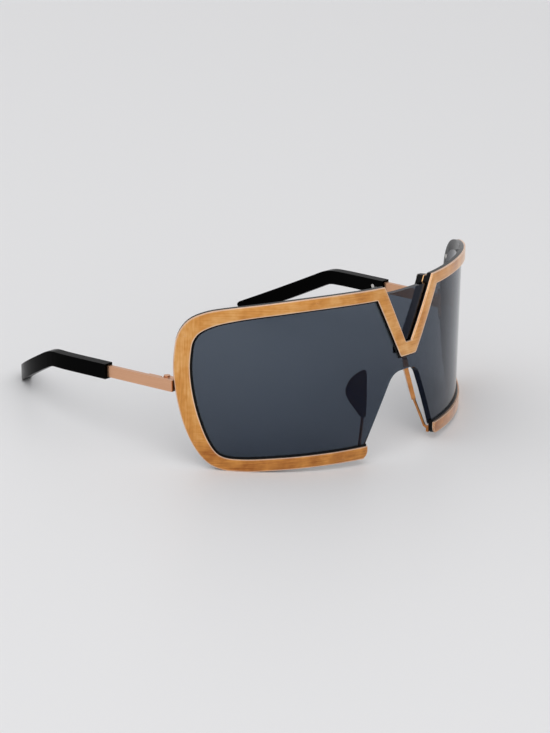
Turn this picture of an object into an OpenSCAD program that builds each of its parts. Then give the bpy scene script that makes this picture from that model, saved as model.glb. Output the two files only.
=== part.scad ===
/* [Front] */
// Radius of the front's wrap
wrap_r = 86; // [82:1:92]
// Length of half the front, measured along its curve
half_len = 88.3; // [85:0.5:91]
// Height of the front
front_h = 60.1; // [58:0.2:63]
// Angle at which the front leans back when the glasses stand
front_lean = 5.4; // [4:0.2:6.4]

/* [Rim] */
// Width of the rim's face along the top
rim_top_w = 4.1; // [3.6:0.1:4.8]
// Width of the rim's face along the sides
rim_side_w = 5.5; // [4.8:0.1:6.2]
// Width of the rim's face along the bottom
rim_bottom_w = 4.3; // [3.8:0.1:5]
// Thickness of the metal front plate
plate_t = 0.6; // [0.5:0.05:0.8]
// Thickness of the black frame's lip in front of the lens
lip_t = 0.6; // [0.5:0.05:0.8]
// Width of the lip that shows inside the front plate
lip_w = 0.6; // [0.4:0.05:0.9]
// Depth of the plate and the black frame together
rim_depth = 2.1; // [1.9:0.05:2.5]

/* [Brow notch] */
// Half the notch's width at the top
notch_half_w = 12.8; // [11.8:0.1:14]
// Half the width of the notch's flat bottom
notch_floor_half = 1.6; // [1.2:0.1:2.4]
// Depth of the notch below the top of the front
notch_depth = 21.3; // [20:0.1:22.5]
// Height of the bar under the notch
notch_bar_h = 4.9; // [4:0.1:5.6]
// Width of each leg beside the notch, measured level
leg_w = 5.2; // [4.8:0.1:6]
// Thickness of the thin metal trim behind the lens at the notch
bridge_trim_t = 0.4; // [0.3:0.05:0.6]
// Thickness of the black block behind that trim
bridge_back_t = 2.2; // [1.6:0.1:2.8]
// Width of the trim and the block beside the notch, measured level
bridge_w = 2.1; // [1.9:0.1:2.6]

/* [Lens] */
// Thickness of the lens
lens_t = 1.8; // [1.5:0.1:2.1]
// Overlap of the lens behind the front plate's inner edge
lens_overlap = 1.2; // [1:0.05:1.5]
// Half the width of the nose gap where its sides would meet its top
nose_top_half = 6; // [5:0.1:7]
// Half the width of the nose gap at the bottom rim
nose_foot_half = 18.6; // [17.6:0.1:19.8]
// Height of the nose gap above the bottom of the front
nose_h = 28.5; // [27:0.1:29.6]
// Radius that rounds the top corners of the nose gap
nose_r = 4; // [3:0.5:5]

/* [Temples] */
// Height of the hinge above the bottom of the front
hinge_h = 29.2; // [27:0.1:30.4]
// Distance from the hinge to the far end of a temple, along the bar's line
temple_len = 82; // [79:0.2:85.2]
// Height of the metal temple bar
bar_h = 3.9; // [3.6:0.1:4.3]
// Thickness of the metal temple bar
bar_t = 1.6; // [1.4:0.1:1.9]
// Distance from the hinge to the front end of the tip
tip_start = 24.8; // [22.4:0.4:27.2]
// Height of the temple tip
tip_h = 5.3; // [4.9:0.1:5.9]
// Thickness of the temple tip
tip_t = 3.6; // [3.2:0.1:4]
// Distance from the hinge to the bend behind the ear
bend_at = 49; // [47:0.5:52]
// Radius of the bend behind the ear
bend_r = 12; // [9:0.5:16]
// Angle of the bend behind the ear
bend_turn = 25.5; // [22:0.5:28.5]
// Distance from the hinge to where the temple starts to curve inward
curve_at = 42; // [40:0.5:45]
// Radius of the inward curve
curve_r = 54; // [50:1:60]
// Angle at which a temple spreads outward from the hinge
splay = 1.6; // [0.8:0.2:2.4]

/* [Nose pads] */
// Height of a nose pad
pad_h = 16.5; // [15:0.5:18]
// Width of a nose pad
pad_w = 7.2; // [6.4:0.2:8]
// Thickness of a nose pad
pad_t = 1.5; // [1.3:0.1:1.8]
// Angle between a nose pad and the front
pad_turn = 47; // [43:1:51]
// Angle at which a nose pad leans, its foot further out than its top
pad_tilt = 15.5; // [12:0.5:18]
// Radius of the pad arm's wire
arm_r = 0.5; // [0.4:0.05:0.6]

/* [Hidden] */
$fn = 64;

// Colours as seen
gold = "#c9924f";
black = "#151515";
tint = "#3f4752";
steel = "#b9b9b6";

// Overrun of every cut, and the gap round a seated piece
over = 2;
seat_gap = 0.02;

// Depths behind the front face
lens_front = plate_t + lip_t;
lens_back = lens_front + lens_t;
trim_back = lens_back + bridge_trim_t;
block_back = trim_back + bridge_back_t;

// The front wraps round a cylinder: a length along the curve and a depth give a place in plan
function heading(u) = u / wrap_r * 180 / PI;
function plan_at(u, depth) = [0, wrap_r] + (wrap_r - depth) * [sin(heading(u)), -cos(heading(u))];

// Outer edge of the front from the brow to the nose end, in shares of its half length and height
top_shares = [[0.2, 1], [0.36, 1], [0.51, 0.992], [0.65, 0.975], [0.78, 0.954], [0.875, 0.928]];
side_shares = [[0.945, 0.877], [0.986, 0.79], [0.999, 0.68], [1, 0.57], [0.987, 0.43], [0.96, 0.28]];
bottom_shares = [[0.921, 0.152], [0.868, 0.056], [0.805, 0.012], [0.72, 0], [0.6, 0.001],
    [0.42, 0.003], [0.245, 0.004]];
edge_shares = concat([[0.1, 1]], top_shares, side_shares, bottom_shares, [[0.1, 0.004]]);
edge_steps = 4;
function spline(p0, p1, p2, p3, t) = 0.5 * (2 * p1 + (p2 - p0) * t
    + (2 * p0 - 5 * p1 + 4 * p2 - p3) * t * t + (3 * p1 - p0 - 3 * p2 + p3) * t * t * t);
function through(p, steps) = concat(
    [for (i = [1:len(p) - 3], k = [0:steps - 1])
        spline(p[i - 1], p[i], p[i + 1], p[i + 2], k / steps)],
    [p[len(p) - 2]]);
edge = [for (p = through(edge_shares, edge_steps)) [p[0] * half_len, p[1] * front_h]];

// Width of the rim's face along that edge, and the edge moved inward by it
last = len(edge) - 1;
side_from = len(top_shares) * edge_steps;
side_to = side_from + (len(side_shares) - 1) * edge_steps;
blend = 3 * edge_steps;
function ease(t) = let (c = min(max(t, 0), 1)) c * c * (3 - 2 * c);
function rim_w(i) = i < side_from
    ? rim_top_w + (rim_side_w - rim_top_w) * ease(1 - (side_from - i) / blend)
    : rim_side_w + (rim_bottom_w - rim_side_w) * ease((i - side_to) / blend);
function unit(v) = v / norm(v);
function inward(i) = let (d = unit(edge[min(i + 1, last)] - edge[max(i - 1, 0)])) [d[1], -d[0]];
function inset(extra) = [for (i = [0:last]) edge[i] + (rim_w(i) + extra) * inward(i)];
function reversed(p) = [for (i = [len(p) - 1:-1:0]) p[i]];

// Edges of the brow notch and of the nose gap
notch_floor = front_h - notch_depth;
bar_low = notch_floor - notch_bar_h;
leg_slope = (notch_half_w - notch_floor_half) / notch_depth;
bar_corner = 0.6;
function leg_out(z) = notch_floor_half + leg_slope * (z - notch_floor);
function leg_in(z, lip) = leg_out(z) + leg_w + lip;
nose_slope = (nose_foot_half - nose_top_half) / (nose_h - rim_bottom_w);
function nose_edge(z) = nose_top_half + nose_slope * (nose_h - z);
rim_end_past = 0.4;
rim_end = nose_foot_half - rim_end_past;
rim_end_round = 1.6;
rim_end_low = rim_end + rim_end_round;

// Right half of a rim layer: notch, outer edge, nose end, inner edge, leg and bar under the notch.
// The curves are trimmed where they would pass the leg above or the rim's nose end below.
function trimmed(points, high_u, low_u) =
    [for (p = points) if (p[0] > (p[1] > front_h / 2 ? high_u : low_u)) p];
function rim_half(lip) = let (
        top_in = front_h - rim_top_w - lip,
        outer = trimmed(edge, notch_half_w, rim_end_low),
        inner = trimmed(inset(lip), leg_in(top_in, lip), rim_end),
        end_in = inner[len(inner) - 1][1])
    concat([[-over, notch_floor], [notch_floor_half, notch_floor], [notch_half_w, front_h]], outer,
        [[rim_end_low, outer[len(outer) - 1][1]], [rim_end + rim_end_round * 0.3, rim_end_round * 0.8],
            [rim_end, rim_end_round * 1.6], [rim_end, end_in]],
        reversed(inner),
        [[leg_in(top_in, lip), top_in], [leg_in(bar_low, lip), bar_low + bar_corner],
            [leg_in(bar_low, lip) - bar_corner, bar_low - lip], [-over, bar_low - lip]]);

// Right half of the lens, with the rounded top corner of the nose gap
nose_steps = 5;
function nose_corner() = let (side = unit([nose_slope, -1]), corner = [nose_top_half, nose_h])
    [for (k = [0:nose_steps]) let (t = k / nose_steps)
        (1 - t) * (1 - t) * (corner + nose_r * side) + 2 * t * (1 - t) * corner
            + t * t * (corner - [nose_r, 0])];
function lens_half(grow) = let (
        rim = inset(-lens_overlap - grow),
        kept = [for (p = rim) if (p[0] > nose_edge(p[1]) - grow) p],
        foot = kept[len(kept) - 1][1])
    concat([[-over, rim[0][1]]], kept, [[nose_edge(foot) - grow, foot]],
        [for (p = nose_corner()) p - [grow, 0]], [[-over, nose_h]]);

// A layer of the wrapped front between two depths, cut to the outline given for its right half.
// Each half is cut along one level direction, close to square with the shell from leg to wing.
cut_turn = 30;
module outline_prism(outline, depth) {
    function across(p) = let (q = plan_at(p[0], depth)) q[0] * cos(cut_turn) + q[1] * sin(cut_turn);
    rotate([0, 0, cut_turn]) translate([0, half_len / 2, 0]) rotate([90, 0, 0])
        linear_extrude(half_len) polygon([for (p = outline) [across(p), p[1]]]);
}
module shell(from, to) {
    translate([0, wrap_r, -over]) difference() {
        cylinder(h = front_h + 2 * over, r = wrap_r - from);
        translate([0, 0, -over]) cylinder(h = front_h + 4 * over, r = wrap_r - to);
    }
}
module layer(outline, from, to, past = 0) {
    for (side = [0, 1]) mirror([side, 0, 0]) intersection() {
        shell(from, to + past);
        outline_prism(outline, (from + to) / 2);
    }
}

// Hinge: its knuckles and its place behind the rim's side, halfway up
knuckle_r = 1.3;
knuckle_gap = 0.08;
knuckle_clear = 0.2;
pin_r = 0.6;
pin_gap = 0.03;
knuckle_h = (bar_h - 2 * knuckle_gap) / 3;
bar_in = knuckle_r + knuckle_clear;
hinge_back = 4.2;
hinge_side = 0.9;
hinge_at = plan_at(half_len, rim_depth) + [-hinge_side, hinge_back];

// Lowest corner of a tip, measured from the hinge in the temple's own frame
tail_len = (temple_len - bend_at - bend_r * sin(bend_turn)) / cos(bend_turn);
tail_round = 1.4;
tip_low = [bend_at + bend_r * sin(bend_turn) + (tail_len - tail_round) * cos(bend_turn)
        - tip_h / 2 * sin(bend_turn),
    -bend_r * (1 - cos(bend_turn)) - (tail_len - tail_round) * sin(bend_turn)
        - tip_h / 2 * cos(bend_turn)];

// Standing pose: the front leans back, the tips reach the floor and the part is centred
low_u = 0.74 * half_len;
rest_cut = 0.12;
lift = plan_at(low_u, 0)[1] * sin(front_lean) - rest_cut;
hinge_z = hinge_h * cos(front_lean) - hinge_at[1] * sin(front_lean) + lift;
temple_fall = asin((hinge_z + rest_cut) / norm(tip_low)) - atan(-tip_low[1] / tip_low[0]);
hinge_y = hinge_at[1] * cos(front_lean) + hinge_h * sin(front_lean);
back_y = hinge_y + temple_len * cos(temple_fall) + (tip_low[1] + tip_h * 0.6) * sin(temple_fall);
mid_y = (bar_low * sin(front_lean) + back_y) / 2;
module standing(side = 1) {
    difference() {
        mirror([side < 0 ? 1 : 0, 0, 0]) translate([0, -mid_y, lift]) rotate([-front_lean, 0, 0])
            children();
        translate([-half_len, -2 * half_len, -half_len]) cube([2 * half_len, 4 * half_len, half_len]);
    }
}
module sided(side) {
    mirror([side < 0 ? 1 : 0, 0, 0]) children();
}

// A round rod between two points, and a screw with its head at the origin and its shank along -Z
module rod(from, to, r) {
    v = to - from;
    translate(from) rotate([0, acos(v[2] / norm(v)), atan2(v[1], v[0])]) cylinder(h = norm(v), r = r);
}
module screw(shank_r, shank_len, head_r, head_h) {
    cylinder(h = head_h, r = head_r);
    translate([0, 0, -shank_len]) cylinder(h = shank_len, r = shank_r);
}
// Puts its children on the shell at a length, depth and height, with Z pointing out of its back
module on_shell(u, depth, z) {
    q = plan_at(u, depth);
    translate([q[0], q[1], z]) rotate([0, 0, heading(u)]) rotate([-90, 0, 0]) children();
}
screw_r = 0.45;
screw_head_r = 0.9;
screw_head_h = 0.45;
module screw_hole(shank_len) {
    screw(screw_r + seat_gap, shank_len, screw_r + seat_gap, over);
}

// Metal front plate with the brow notch
module front_plate() {
    color(gold) standing() difference() {
        layer(rim_half(0), 0, plate_t);
        frame_screw_places() screw_hole(frame_shank);
    }
}

// Black frame: a lip round the lens, the lens's seat and a post behind each corner of the notch
post_low = front_h - rim_top_w + lens_overlap + seat_gap;
post_inset = 0.15;
bridge_drop = 1.1;
bridge_top = front_h - bridge_drop;
module posts() {
    outline = [[leg_out(post_low) + post_inset, post_low], [leg_out(bridge_top) + post_inset, bridge_top],
        [leg_out(bridge_top) + bridge_w, bridge_top], [leg_out(post_low) + bridge_w, post_low]];
    layer(outline, lens_front, lens_back);
}
module rim_frame() {
    color(black) standing() difference() {
        union() {
            layer(rim_half(lip_w), plate_t, rim_depth);
            posts();
        }
        layer(lens_half(seat_gap), lens_front - seat_gap, lens_back, over);
        frame_screw_places() screw_hole(frame_shank);
        bridge_screw_places() screw_hole(bridge_shank);
        end_screw_places() screw_hole(end_shank);
        for (side = [1, -1]) sided(side) pad_screw_place() screw_hole(pad_shank);
    }
}

// One-piece lens
module lens() {
    color(tint, 0.8) standing() layer(lens_half(0), lens_front, lens_back);
}

// Metal trim and black block that back the notch behind the lens
function block_half() = [[-over, notch_floor], [notch_floor_half, notch_floor],
    [leg_out(bridge_top), bridge_top], [leg_out(bridge_top) + bridge_w, bridge_top],
    [leg_out(bar_low) + bridge_w, bar_low], [-over, bar_low]];
bridge_shank = block_back - plate_t - lip_t / 2;
module bridge_screw_places() {
    z = (bridge_top + post_low) / 2;
    for (side = [1, -1]) sided(side)
        on_shell(leg_out(z) + (post_inset + bridge_w) / 2, block_back, z) children();
}
module bridge_layer(from, to) {
    difference() {
        layer(block_half(), from, to);
        bridge_screw_places() screw_hole(bridge_shank);
    }
}
module bridge_trim() { color(gold) standing() bridge_layer(lens_back, trim_back); }
module bridge_back() { color(black) standing() bridge_layer(trim_back, block_back); }
module bridge_screws() {
    color(steel) standing() bridge_screw_places()
        screw(screw_r, bridge_shank - seat_gap, screw_head_r, screw_head_h);
}

// Screws driven from behind through the frame into the plate
frame_shank = rim_depth - plate_t / 2;
frame_screw_shares = [[0.45, 0.966], [0.958, 0.79], [0.915, 0.17], [0.32, 0.024]];
module frame_screw_places() {
    for (side = [1, -1], p = frame_screw_shares) sided(side)
        on_shell(p[0] * half_len, rim_depth, p[1] * front_h) children();
}
module frame_screws() {
    color(steel) standing() frame_screw_places()
        screw(screw_r, frame_shank - seat_gap, screw_head_r, screw_head_h);
}

// End pieces: a flange screwed behind the frame's side, a lug and two hinge knuckles
flange_h = 13;
flange_t = 0.9;
flange_edge = 0.6;
flange_gap = 0.25;
end_shank = flange_t + (rim_depth - plate_t) * 0.8;
end_screw_at = 0.36 * flange_h;
module at_hinge() {
    translate([hinge_at[0], hinge_at[1], hinge_h]) rotate([front_lean - temple_fall, 0, 0]) children();
}
module on_temple(side) {
    standing(side) at_hinge() rotate([0, 0, -splay]) children();
}
module knuckle(level, r) {
    translate([0, 0, -bar_h / 2 + level * (knuckle_h + knuckle_gap)]) cylinder(h = knuckle_h, r = r);
}
module end_screw_places() {
    for (side = [1, -1], k = [-1, 1]) sided(side) let (z = hinge_h + k * end_screw_at)
        on_shell((flange_edge_u(flange_out, z) + flange_edge_u(flange_in, z)) / 2,
            rim_depth + flange_t, z) children();
}
function beside_hinge(p) = p[0] > 0.8 * half_len && abs(p[1] - hinge_h) < flange_h / 2;
flange_out = [for (i = [0:last]) let (p = edge[i] + flange_edge * inward(i)) if (beside_hinge(p)) p];
flange_in = [for (p = inset(-lens_overlap - flange_gap)) if (beside_hinge(p)) p];
function flange_edge_u(side, z) = lookup(z, [for (p = side) [p[1], p[0]]]);
module flange() {
    intersection() {
        shell(rim_depth, rim_depth + flange_t);
        outline_prism(concat(flange_out, reversed(flange_in)), (lens_front + lens_back) / 2);
    }
}
lug_gap = 0.25;
web = knuckle_r + 0.5;
module lug() {
    wide = knuckle_r + bar_in - lug_gap;
    at_hinge() {
        translate([-knuckle_r, -hinge_back - 2 * over, -bar_h / 2])
            cube([wide, hinge_back + 2 * over - web, bar_h]);
        for (level = [0, 2]) {
            knuckle(level, knuckle_r);
            translate([-knuckle_r, -web - knuckle_gap, -bar_h / 2 + level * (knuckle_h + knuckle_gap)])
                cube([wide, web + knuckle_gap, knuckle_h]);
        }
    }
}
module end_piece(side) {
    color(gold) standing(side) difference() {
        union() {
            flange();
            intersection() {
                translate([0, wrap_r, 0]) cylinder(h = front_h, r = wrap_r - rim_depth);
                lug();
            }
        }
        at_hinge() translate([0, 0, -bar_h]) cylinder(h = 2 * bar_h, r = pin_r + seat_gap);
        end_screw_places() screw_hole(end_shank);
    }
}
module end_piece_left() { end_piece(1); }
module end_piece_right() { end_piece(-1); }
module end_screws() {
    color(steel) standing() end_screw_places()
        screw(screw_r, end_shank - seat_gap, screw_head_r, screw_head_h);
}
module hinge_screws() {
    color(steel) standing() for (side = [1, -1]) sided(side) at_hinge() {
        translate([0, 0, -bar_h / 2]) cylinder(h = bar_h + screw_head_h, r = pin_r);
        translate([0, 0, bar_h / 2]) cylinder(h = screw_head_h, r = knuckle_r * 0.85);
    }
}

// Hinge half on each temple: the middle knuckle and a leaf riveted inside the bar
leaf_t = 0.7;
leaf_len = 7;
rivet_r = 0.5;
rivet_head_t = 0.25;
rivet_places = [3.4, 5.8];
module rivets(grow) {
    for (y = rivet_places) translate([bar_in - leaf_t - rivet_head_t, y, 0]) rotate([0, 90, 0])
        cylinder(h = leaf_t + rivet_head_t + bar_t * 0.6 + grow, r = rivet_r + grow);
}
module temple_hinge(side) {
    color(gold) on_temple(side) difference() {
        union() {
            knuckle(1, knuckle_r);
            translate([0, 0, -bar_h / 2 + knuckle_h + knuckle_gap])
                cube([bar_in, bar_in + leaf_t, knuckle_h]);
            translate([bar_in - leaf_t, bar_in, -bar_h / 2]) cube([leaf_t, leaf_len - bar_in, bar_h]);
        }
        translate([0, 0, -bar_h]) cylinder(h = 2 * bar_h, r = pin_r + pin_gap);
        rivets(seat_gap);
    }
}
module temple_hinge_left() { temple_hinge(1); }
module temple_hinge_right() { temple_hinge(-1); }
module hinge_rivets_left() { color(steel) on_temple(1) rivets(0); }
module hinge_rivets_right() { color(steel) on_temple(-1) rivets(0); }

// Temple outlines. Its line runs straight, bends down behind the ear and curves inward in plan.
arc_step = 3;
function arc(c, r, from, to) = let (n = max(1, ceil(abs(to - from) / arc_step)))
    [for (k = [0:n]) let (a = from + (to - from) * k / n) c + r * [cos(a), sin(a)]];
function side_outline(h, start, tail, r) = let (
        c = [bend_at, -bend_r],
        tip = c + bend_r * [sin(bend_turn), cos(bend_turn)] + tail * [cos(bend_turn), -sin(bend_turn)],
        along = [cos(bend_turn), -sin(bend_turn)],
        up = [sin(bend_turn), cos(bend_turn)])
    concat([[start, h / 2]], arc(c, bend_r + h / 2, 90, 90 - bend_turn),
        arc(tip - r * along + (h / 2 - r) * up, r, 90 - bend_turn, -bend_turn),
        arc(tip - r * along - (h / 2 - r) * up, r, -bend_turn, -90 - bend_turn),
        arc(c, bend_r - h / 2, 90 - bend_turn, 90), [[start, -h / 2]]);
function plan_outline(from, to, start) = let (
        c = [bar_in - curve_r, curve_at],
        turn = asin((temple_len - curve_at) / curve_r) + arc_step)
    concat([[to, start]], arc(c, curve_r - bar_in + to, 0, turn),
        arc(c, curve_r - bar_in + from, turn, 0), [[from, start]]);
module temple_solid(h, from, to, start, tail, r) {
    deep = 2 * curve_r;
    intersection() {
        translate([over * 2 + deep / 4, 0, 0]) rotate([90, 0, -90]) mirror([1, 0, 0])
            linear_extrude(deep) polygon(side_outline(h, start, tail, r));
        translate([0, 0, -deep / 2]) linear_extrude(deep) polygon(plan_outline(from, to, start - over));
    }
}

// Temple bar, whose thin core runs on inside the tip
core_h = 2.2;
core_t = 0.8;
core_end = 6;
module core(grow) {
    inset_t = (bar_t - core_t) / 2;
    temple_solid(core_h + 2 * grow, bar_in + inset_t - grow, bar_in + inset_t + core_t + grow,
        tip_start - over, tail_len - core_end + grow, core_h / 4);
}
bar_ahead = 4.8;
module temple_bar(side) {
    color(gold) on_temple(side) difference() {
        union() {
            translate([bar_in, -bar_ahead, -bar_h / 2]) cube([bar_t, bar_ahead + tip_start, bar_h]);
            core(0);
        }
        rivets(seat_gap);
    }
}
module temple_bar_left() { temple_bar(1); }
module temple_bar_right() { temple_bar(-1); }

// Black tips pushed over the cores, each with a rivet on its inner side
tip_in = bar_in - (tip_t - bar_t) / 2;
tip_rivet_at = 4.7;
tip_rivet_r = 0.75;
module tip_rivet(grow) {
    head = 0.15;
    translate([tip_in - head, tip_start + tip_rivet_at, 0]) rotate([0, 90, 0])
        cylinder(h = (tip_t - core_t) / 2 + head - seat_gap, r = tip_rivet_r + grow);
}
module temple_tip(side) {
    color(black) on_temple(side) difference() {
        temple_solid(tip_h, tip_in, tip_in + tip_t, tip_start, tail_len, tail_round);
        core(seat_gap);
        tip_rivet(seat_gap);
    }
}
module temple_tip_left() { temple_tip(1); }
module temple_tip_right() { temple_tip(-1); }
module tip_rivet_left() { color(steel) on_temple(1) tip_rivet(0); }
module tip_rivet_right() { color(steel) on_temple(-1) tip_rivet(0); }

// Nose pads: a leaf on a long arm that rises from the rim's nose end
pad_top = [10.2, 10.6, 28.4];
pad_shares = [[-0.02, 0.16], [-0.03, 0.6], [-0.02, 0.9], [0.06, 0.995], [0.3, 0.965], [0.7, 0.83],
    [0.96, 0.62], [0.9, 0.42], [0.56, 0.2], [0.24, 0.02], [0.03, 0.02]];
pad_steps = 4;
function closed(p, steps) = let (n = len(p)) [for (i = [0:n - 1], k = [0:steps - 1])
    spline(p[(i + n - 1) % n], p[i], p[(i + 1) % n], p[(i + 2) % n], k / steps)];
function on_pad(x, z) = pad_top + [x * cos(pad_turn) - z * sin(pad_tilt) * sin(pad_turn),
    x * sin(pad_turn) + z * sin(pad_tilt) * cos(pad_turn), z * cos(pad_tilt)];
foot_t = 0.9;
foot_r = 1.2;
foot_len = 2.6;
foot_lift = 0.1;
foot_u = rim_end + 3.6;
foot_z = 1.6;
foot_back = rim_depth + foot_lift + foot_t;
bend_share = 1.12;
module arm_path(r) {
    function at(u, depth, z) = let (q = plan_at(u, depth)) [q[0], q[1], z];
    a = at(foot_u - foot_len, foot_back - foot_t / 3, foot_z);
    b = at(foot_u - foot_len, foot_back + foot_r, foot_z + foot_t);
    c = on_pad(0.14 * pad_w, -0.93 * pad_h);
    d = on_pad(0.24 * pad_w, -0.5 * pad_h);
    rod(a, b, r);
    rod(b, c, r);
    rod(c, d, r);
    for (p = [b, c]) translate(p) sphere(r = r * bend_share);
}
module pad_foot() {
    low = foot_r * 0.85;
    on_shell(foot_u, rim_depth + foot_lift, foot_z) {
        cylinder(h = foot_t, r = foot_r);
        translate([-foot_len - 2 * arm_r, -low, 0]) cube([foot_len + 2 * arm_r, 2 * low, foot_t]);
    }
}
pad_shank = foot_t + (rim_depth - plate_t) * 0.8;
module pad_screw_place() {
    on_shell(foot_u, foot_back, foot_z) children();
}
module pad_arm(side) {
    color(gold) standing(side) difference() {
        union() {
            pad_foot();
            arm_path(arm_r);
        }
        pad_screw_place() screw_hole(pad_shank);
    }
}
module pad_arm_left() { pad_arm(1); }
module pad_arm_right() { pad_arm(-1); }
module nose_pad(side) {
    color(gold) standing(side) difference() {
        translate(pad_top) rotate([0, 0, pad_turn]) rotate([-pad_tilt, 0, 0])
            translate([0, pad_t / 2, 0]) rotate([90, 0, 0]) linear_extrude(pad_t)
                polygon([for (p = closed(pad_shares, pad_steps)) [p[0] * pad_w, (p[1] - 1) * pad_h]]);
        arm_path(arm_r + seat_gap);
    }
}
module nose_pad_left() { nose_pad(1); }
module nose_pad_right() { nose_pad(-1); }
module pad_screws() {
    color(steel) standing() for (side = [1, -1]) sided(side) pad_screw_place()
        screw(screw_r, pad_shank - seat_gap, screw_head_r, screw_head_h);
}

front_plate();
rim_frame();
lens();
bridge_trim();
bridge_back();
bridge_screws();
frame_screws();
end_piece_left();
end_piece_right();
end_screws();
hinge_screws();
temple_hinge_left();
temple_hinge_right();
hinge_rivets_left();
hinge_rivets_right();
temple_bar_left();
temple_bar_right();
temple_tip_left();
temple_tip_right();
tip_rivet_left();
tip_rivet_right();
pad_arm_left();
pad_arm_right();
nose_pad_left();
nose_pad_right();
pad_screws();
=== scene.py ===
import math
import bpy
from mathutils import Matrix, Vector

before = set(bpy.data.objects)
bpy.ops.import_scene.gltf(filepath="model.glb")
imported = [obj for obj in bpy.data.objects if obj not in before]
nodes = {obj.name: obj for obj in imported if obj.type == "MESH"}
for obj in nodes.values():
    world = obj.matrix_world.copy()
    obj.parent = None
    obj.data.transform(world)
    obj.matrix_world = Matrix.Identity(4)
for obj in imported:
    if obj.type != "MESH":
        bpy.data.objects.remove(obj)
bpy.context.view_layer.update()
MM = 0.001
front_lean, bar_fall = 5.4, 7.8  # degrees, of the standing front and of the temple bars
wrap_radius, wrap_centre = 86 * MM, 20.51 * MM
front_height = 60 * MM
floor_reach, floor_drop = 6, 0.05 * MM  # metres each way, and a hair below the rests
corner_angle, weld_gap = math.radians(40), 0.001 * MM

# Camera: the photograph's place and direction, from a fit to the front's edge and the temples
right_way = Vector((0.6656, -0.74054, 0.09259))
up_way = Vector((0.21234, 0.30686, 0.92777))
look_way = Vector((0.71547, 0.59786, -0.36149))
eye = Vector((-0.752197, -0.632359, 0.391935))
camera = bpy.data.objects.new("camera", bpy.data.cameras.new("camera"))
bpy.context.scene.collection.objects.link(camera)
aim = Matrix((right_way, up_way, -look_way)).transposed().to_4x4()
camera.matrix_world = Matrix.Translation(eye) @ aim
camera.data.sensor_width, camera.data.lens = 36, 144.17  # millimetres
camera.data.clip_start, camera.data.clip_end = 0.01, 50
bpy.context.scene.camera = camera
bpy.context.scene.view_settings.view_transform = "Standard"


def colour(code):
    """An sRGB hex code as linear RGBA."""
    parts = [int(code[i:i + 2], 16) / 255 for i in (1, 3, 5)]
    return [c / 12.92 if c <= 0.04045 else ((c + 0.055) / 1.055) ** 2.4 for c in parts] + [1]


def add(tree, kind, settings=None, **wires):
    """Adds a node. A setting is a property, an input's value or a ramp's stops of (place, hex colour),
    and a wire is another node or one of its outputs, named for the socket or numbered like _0."""
    node = tree.nodes.new(kind)
    for key, value in (settings or {}).items():
        if key == "stops":
            for i, (place, code) in enumerate(value):
                element = node.color_ramp.elements[i] if i < 2 else node.color_ramp.elements.new(place)
                element.position, element.color = place, colour(code)
        elif isinstance(key, str) and hasattr(node, key):
            setattr(node, key, value)
        else:
            node.inputs[key].default_value = value
    for key, source in wires.items():
        socket = node.inputs[int(key[1:])] if key[1:].isdigit() else node.inputs[key.replace("_", " ")]
        tree.links.new(source.outputs[0] if isinstance(source, bpy.types.Node) else source, socket)
    return node


def finish_of(name, **values):
    """A material of that name with its principled shader. Values are the shader's own sockets."""
    material = bpy.data.materials.new(name)
    material.use_nodes = True
    tree = material.node_tree
    shader = tree.nodes["Principled BSDF"]
    for key, value in values.items():
        shader.inputs[key.replace("_", " ")].default_value = value
    return material, tree, shader


def wire(tree, shader, **wires):
    """Links outputs to the shader's sockets of those names."""
    for key, source in wires.items():
        tree.links.new(source.outputs[0] if isinstance(source, bpy.types.Node) else source,
                       shader.inputs[key.replace("_", " ")])


def wrapped_place(tree):
    """Place on the front, length along its curve and height in metres, for patterns that follow the wrap."""
    place = add(tree, "ShaderNodeTexCoord").outputs["Object"]
    upright = add(tree, "ShaderNodeVectorRotate",
                  {"rotation_type": "X_AXIS", "Angle": math.radians(front_lean)}, Vector=place)
    parts = add(tree, "ShaderNodeSeparateXYZ", Vector=upright)
    back = add(tree, "ShaderNodeMath", {"operation": "SUBTRACT", 0: wrap_centre}, _1=parts.outputs["Y"])
    angle = add(tree, "ShaderNodeMath", {"operation": "ARCTAN2"}, _0=parts.outputs["X"], _1=back)
    along = add(tree, "ShaderNodeMath", {"operation": "MULTIPLY", 1: wrap_radius}, _0=angle)
    return add(tree, "ShaderNodeCombineXYZ", X=along, Z=parts.outputs["Z"])


def brushed(tree, place, turn, length, gap):
    """Brush lines, so long and so far apart, turned in the face by that many degrees."""
    turned = add(tree, "ShaderNodeVectorRotate",
                 {"rotation_type": "Y_AXIS", "Angle": math.radians(turn)}, Vector=place)
    scaled = add(tree, "ShaderNodeVectorMath",
                 {"operation": "MULTIPLY", 1: (1 / length, 1 / length, 1 / gap)}, _0=turned)
    return add(tree, "ShaderNodeTexNoise", {"Scale": 1, "Detail": 3, "Roughness": 0.6},
               Vector=scaled).outputs["Fac"]


# Front plate: gold plated steel, brushed by hand along each strip, which shows as fine lines.
# The plating is uneven, so deeper orange clouds lie over it, and the tone is deeper orange still low
# down and along the brow. The strips' faces stay satin, not mirror bright. Brush lines are drawn
# coarser than the real ones, which no picture of the whole front could show. The plating is paler
# along its corners, partly worn by handling and partly as a painted highlight, which shows as a thin
# light line round each strip. Handling left a fine haze that turns it creamy at a slant.
line_length, line_gap, line_depth = 9 * MM, 0.45 * MM, 0.05 * MM
cloud_size, wear_and_highlight_reach = 9 * MM, 0.6 * MM
low_from, low_to, brow_from, brow_to = 4 * MM, 12 * MM, 51 * MM, 58 * MM
side_from, side_to = 76 * MM, 83 * MM  # along the curve, where the strips turn upright
plate_gold, tree, shader = finish_of("gold plated steel, brushed", Metallic=1, Coat_Weight=0.6,
                                     Coat_Roughness=0.35, Sheen_Weight=0.45, Sheen_Roughness=0.35)
place = wrapped_place(tree)
parts = add(tree, "ShaderNodeSeparateXYZ", Vector=place)
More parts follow.
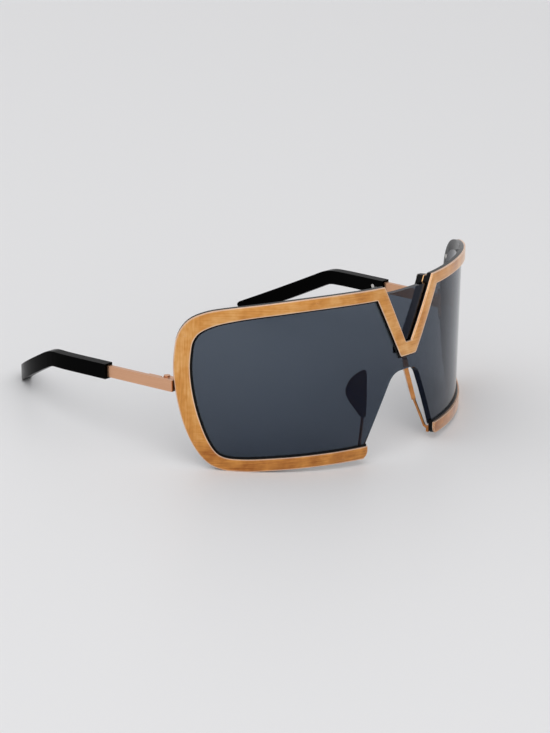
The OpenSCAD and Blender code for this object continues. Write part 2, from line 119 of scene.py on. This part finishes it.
# Deeper orange low down and along the brow, by height on the front
low_down = add(tree, "ShaderNodeMapRange",
               {"From Min": low_from, "From Max": low_to, "To Min": 0.14, "To Max": 0},
               Value=parts.outputs["Z"])
high_up = add(tree, "ShaderNodeMapRange",
              {"From Min": brow_from, "From Max": brow_to, "To Min": 0, "To Max": 0.06},
              Value=parts.outputs["Z"])
reach = add(tree, "ShaderNodeMath", {"operation": "ABSOLUTE"}, _0=parts.outputs["X"])
on_side = add(tree, "ShaderNodeMapRange",
              {"interpolation_type": "SMOOTHSTEP", "From Min": side_from, "From Max": side_to}, Value=reach)
lines = add(tree, "ShaderNodeMix", {"data_type": "FLOAT"}, _0=on_side,
            _2=brushed(tree, place, 0, line_length, line_gap),
            _3=brushed(tree, place, 90, line_length, line_gap))
clouds = add(tree, "ShaderNodeTexNoise", {"Scale": 1 / cloud_size, "Detail": 3, "Roughness": 0.65},
             Vector=place)
both = add(tree, "ShaderNodeMix", {"data_type": "FLOAT", 0: 0.4},
           _2=clouds.outputs["Fac"], _3=lines.outputs[0])
both = add(tree, "ShaderNodeMath", {"operation": "SUBTRACT"}, _0=both.outputs[0], _1=low_down)
both = add(tree, "ShaderNodeMath", {"operation": "SUBTRACT"}, _0=both, _1=high_up)
tone = add(tree, "ShaderNodeValToRGB",
           {"stops": ((0.26, "#ab6420"), (0.45, "#d99443"), (0.58, "#eab069"), (0.76, "#f8d6aa"))},
           Fac=both.outputs[0])
# Paler along the corners: partly wear from handling, partly a painted highlight, the light line these edges
# catch
corner = add(tree, "ShaderNodeBevel", {"samples": 8, "Radius": wear_and_highlight_reach})
turn = add(tree, "ShaderNodeVectorMath", {"operation": "DOT_PRODUCT"}, _0=corner,
           _1=add(tree, "ShaderNodeNewGeometry").outputs["True Normal"])
wear_and_highlight = add(tree, "ShaderNodeMapRange", {"From Min": 0.995, "From Max": 0.93, "To Max": 0.6},
           Value=turn.outputs["Value"])
tone = add(tree, "ShaderNodeMix", {"data_type": "RGBA", 7: colour("#f8e0cb")}, _0=wear_and_highlight, _6=tone)
rough = add(tree, "ShaderNodeMapRange", {"To Min": 0.34, "To Max": 0.5}, Value=lines.outputs[0])
bump = add(tree, "ShaderNodeBump", {"Strength": 0.25, "Distance": line_depth}, Height=lines.outputs[0])
wire(tree, shader, Base_Color=tone.outputs[2], Roughness=rough, Normal=bump)

# Black frame: cellulose acetate, cut and tumble polished, so it is deep black with a wet gloss,
# here and there a little duller. The low specular keeps its narrow lip as dark as the real one.
dull_size = 4 * MM
frame_black, tree, shader = finish_of("black acetate, polished", Base_Color=colour("#030304"),
                                      IOR=1.49, Specular_IOR_Level=0.12)
place = add(tree, "ShaderNodeTexCoord").outputs["Object"]
dull = add(tree, "ShaderNodeTexNoise", {"Scale": 1 / dull_size, "Detail": 4}, Vector=place)
wire(tree, shader, Roughness=add(tree, "ShaderNodeMapRange", {"To Min": 0.1, "To Max": 0.24}, Value=dull))

# Lens: injection moulded polycarbonate with a blue grey tint, so the floor shows dimly through it.
# The low index and the blue reflection stand for its coating, whose face mirrors little, and a
# slanting look goes through more of the sheet, so the tint is deeper there.
lens_tint, tree, shader = finish_of("tinted polycarbonate, moulded", Roughness=0.01, IOR=1.28,
                                    Transmission_Weight=1, Specular_Tint=colour("#8fb0ff"))
place = add(tree, "ShaderNodeTexCoord").outputs["Object"]
# Painted shade: the tint is darker towards the bottom, for the floor shaded by the lens and seen through it
height = add(tree, "ShaderNodeSeparateXYZ", Vector=place).outputs["Z"]
painted_shade_by_height = add(tree, "ShaderNodeMapRange", {"From Min": 2 * MM, "From Max": front_height}, Value=height)
tint_and_painted_shade = add(tree, "ShaderNodeValToRGB", {"stops": ((0, "#4f565e"), (1, "#5f6770"))}, Fac=painted_shade_by_height)
slant = add(tree, "ShaderNodeMath", {"operation": "MULTIPLY", 1: 1.1},
            _0=add(tree, "ShaderNodeLayerWeight", {"Blend": 0.5}).outputs["Facing"])
tint_and_painted_shade = add(tree, "ShaderNodeMix", {"data_type": "RGBA", 7: colour("#32373f")}, _0=slant, _6=tint_and_painted_shade)
wire(tree, shader, Base_Color=tint_and_painted_shade.outputs[2])

# Thin trim at the notch: polished gold plating, bright, in slightly uneven tones
cloud_size = 3 * MM
trim_gold, tree, shader = finish_of("gold plated steel, polished", Metallic=1, Roughness=0.2)
place = add(tree, "ShaderNodeTexCoord").outputs["Object"]
clouds = add(tree, "ShaderNodeTexNoise", {"Scale": 1 / cloud_size, "Detail": 3}, Vector=place)
wire(tree, shader, Base_Color=add(tree, "ShaderNodeValToRGB", {"stops": ((0.3, "#d99a58"), (0.7, "#efc08d"))},
                                  Fac=clouds))

# Temple bars, hinges and end pieces: rose gold plated steel strip, satin from drawing along its
# length, with faint lines, some duller than others. They are drawn at a quarter of a millimetre,
# coarser than real ones, so that they show.
drawn_width, drawn_length, drawn_gap = 0.6 * MM, 18 * MM, 0.25 * MM
bar_gold, tree, shader = finish_of("rose gold plated steel, drawn", Metallic=1)
place = add(tree, "ShaderNodeTexCoord").outputs["Object"]
along_bar = add(tree, "ShaderNodeVectorRotate",
                {"rotation_type": "X_AXIS", "Angle": math.radians(bar_fall)}, Vector=place)
drawn = add(tree, "ShaderNodeVectorMath",
            {"operation": "MULTIPLY", 1: (1 / drawn_width, 1 / drawn_length, 1 / drawn_gap)}, _0=along_bar)
lines = add(tree, "ShaderNodeTexNoise", {"Scale": 1, "Detail": 3}, Vector=drawn).outputs["Fac"]
tone = add(tree, "ShaderNodeValToRGB", {"stops": ((0.3, "#d8a582"), (0.7, "#dfad8a"))}, Fac=lines)
wire(tree, shader, Base_Color=tone,
     Roughness=add(tree, "ShaderNodeMapRange", {"To Min": 0.28, "To Max": 0.42}, Value=lines))

# Temple tips: black acetate, tumbled to a soft gloss with a faint haze of handling
haze_size = 7 * MM
tip_black, tree, shader = finish_of("black acetate, tumbled", Base_Color=colour("#020202"), IOR=1.49,
                                    Specular_IOR_Level=0.022)
place = add(tree, "ShaderNodeTexCoord").outputs["Object"]
haze = add(tree, "ShaderNodeTexNoise", {"Scale": 1 / haze_size, "Detail": 5}, Vector=place)
wire(tree, shader, Roughness=add(tree, "ShaderNodeMapRange", {"To Min": 0.16, "To Max": 0.28}, Value=haze))

# Nose pads and their arms: copper toned plating over nickel silver, buffed, a little cloudy
cloud_size = 4 * MM
pad_gold, tree, shader = finish_of("copper toned nickel silver, buffed", Metallic=1, Roughness=0.28)
place = add(tree, "ShaderNodeTexCoord").outputs["Object"]
clouds = add(tree, "ShaderNodeTexNoise", {"Scale": 1 / cloud_size, "Detail": 3}, Vector=place)
wire(tree, shader, Base_Color=add(tree, "ShaderNodeValToRGB", {"stops": ((0.3, "#b5733d"), (0.7, "#d69a63"))},
                                  Fac=clouds))

# Screws and rivets: stainless steel, turned, with fine marks of the tool
mark_size = 0.3 * MM
screw_steel, tree, shader = finish_of("stainless steel, turned", Metallic=1, Base_Color=colour("#c9c6c2"))
place = add(tree, "ShaderNodeTexCoord").outputs["Object"]
marks = add(tree, "ShaderNodeTexNoise", {"Scale": 1 / mark_size, "Detail": 2}, Vector=place)
wire(tree, shader, Roughness=add(tree, "ShaderNodeMapRange", {"To Min": 0.22, "To Max": 0.4}, Value=marks))

finishes = {
    "front_plate": plate_gold, "rim_frame": frame_black, "lens": lens_tint, "bridge_trim": trim_gold,
    "bridge_back": frame_black, "nose_pad": pad_gold, "pad_arm": pad_gold, "temple_tip": tip_black,
    "temple_bar": bar_gold, "temple_hinge": bar_gold, "end_piece": bar_gold, "hinge_screws": bar_gold,
}
for name, piece in nodes.items():
    finish = next((m for part, m in finishes.items() if name.startswith(part)), screw_steel)
    piece.data.materials.clear()
    piece.data.materials.append(finish)

# Worked edges: a narrow round, in millimetres, on the rigid pieces' corners catches a line of light
edge_round = {"front_plate": 0.12, "rim_frame": 0.12, "bridge_back": 0.15, "temple_tip_left": 1.1,
              "temple_tip_right": 1.1, "temple_bar_left": 0.15, "temple_bar_right": 0.15,
              "nose_pad_left": 0.3, "nose_pad_right": 0.3}
for name, width in edge_round.items():
    weld = nodes[name].modifiers.new("weld", "WELD")
    weld.merge_threshold = weld_gap
    bevel = nodes[name].modifiers.new("round", "BEVEL")
    bevel.width, bevel.segments, bevel.limit_method = width * MM, 3, "ANGLE"
    bevel.angle_limit, bevel.use_clamp_overlap = corner_angle, True

# The tips' bend is shaded smooth, by modifiers that leave the mesh itself as it is
smooth = bpy.data.node_groups.new("smooth", "GeometryNodeTree")
for way in ("INPUT", "OUTPUT"):
    smooth.interface.new_socket("Geometry", in_out=way, socket_type="NodeSocketGeometry")
add(smooth, "NodeGroupOutput", _0=add(smooth, "GeometryNodeSetShadeSmooth", _0=add(smooth, "NodeGroupInput")))
for side in ("left", "right"):
    tip = nodes["temple_tip_" + side]
    tip.modifiers.new("smooth", "NODES").node_group = smooth
    tip.modifiers.new("even", "WEIGHTED_NORMAL").mode = "FACE_AREA"

# Floor: pale satin card, which mirrors the dark lens as a very soft shade in front of it
floor_card, tree, shader = finish_of("pale card, satin", Base_Color=colour("#e7e7e8"), Roughness=0.5)
floor_mesh = bpy.data.meshes.new("floor")
floor_mesh.from_pydata([(x * floor_reach, y * floor_reach, 0)
                        for x, y in ((-1, -1), (1, -1), (1, 1), (-1, 1))], [], [(0, 1, 2, 3)])
floor = bpy.data.objects.new("floor", floor_mesh)
floor.location.z = -floor_drop
bpy.context.scene.collection.objects.link(floor)
floor_mesh.materials.append(floor_card)

# Light: an even pale room and two large soft lamps
world = bpy.data.worlds.new("room")
bpy.context.scene.world = world
world.use_nodes = True
sky = world.node_tree.nodes["Background"]
sky.inputs["Color"].default_value = colour("#f3f3f4")
sky.inputs["Strength"].default_value = 0.81
for name, at, size, power in (("key", (-1.3, 0, 1.6), 3.4, 15), ("fill", (-0.6, -1.4, 0.9), 1.4, 3.5)):
    lamp = bpy.data.objects.new(name, bpy.data.lights.new(name, "AREA"))
    lamp.data.shape, lamp.data.size, lamp.data.energy = "DISK", size, power
    lamp.location = at
    lamp.rotation_euler = (-Vector(at)).to_track_quat("-Z", "Y").to_euler()
    bpy.context.scene.collection.objects.link(lamp)
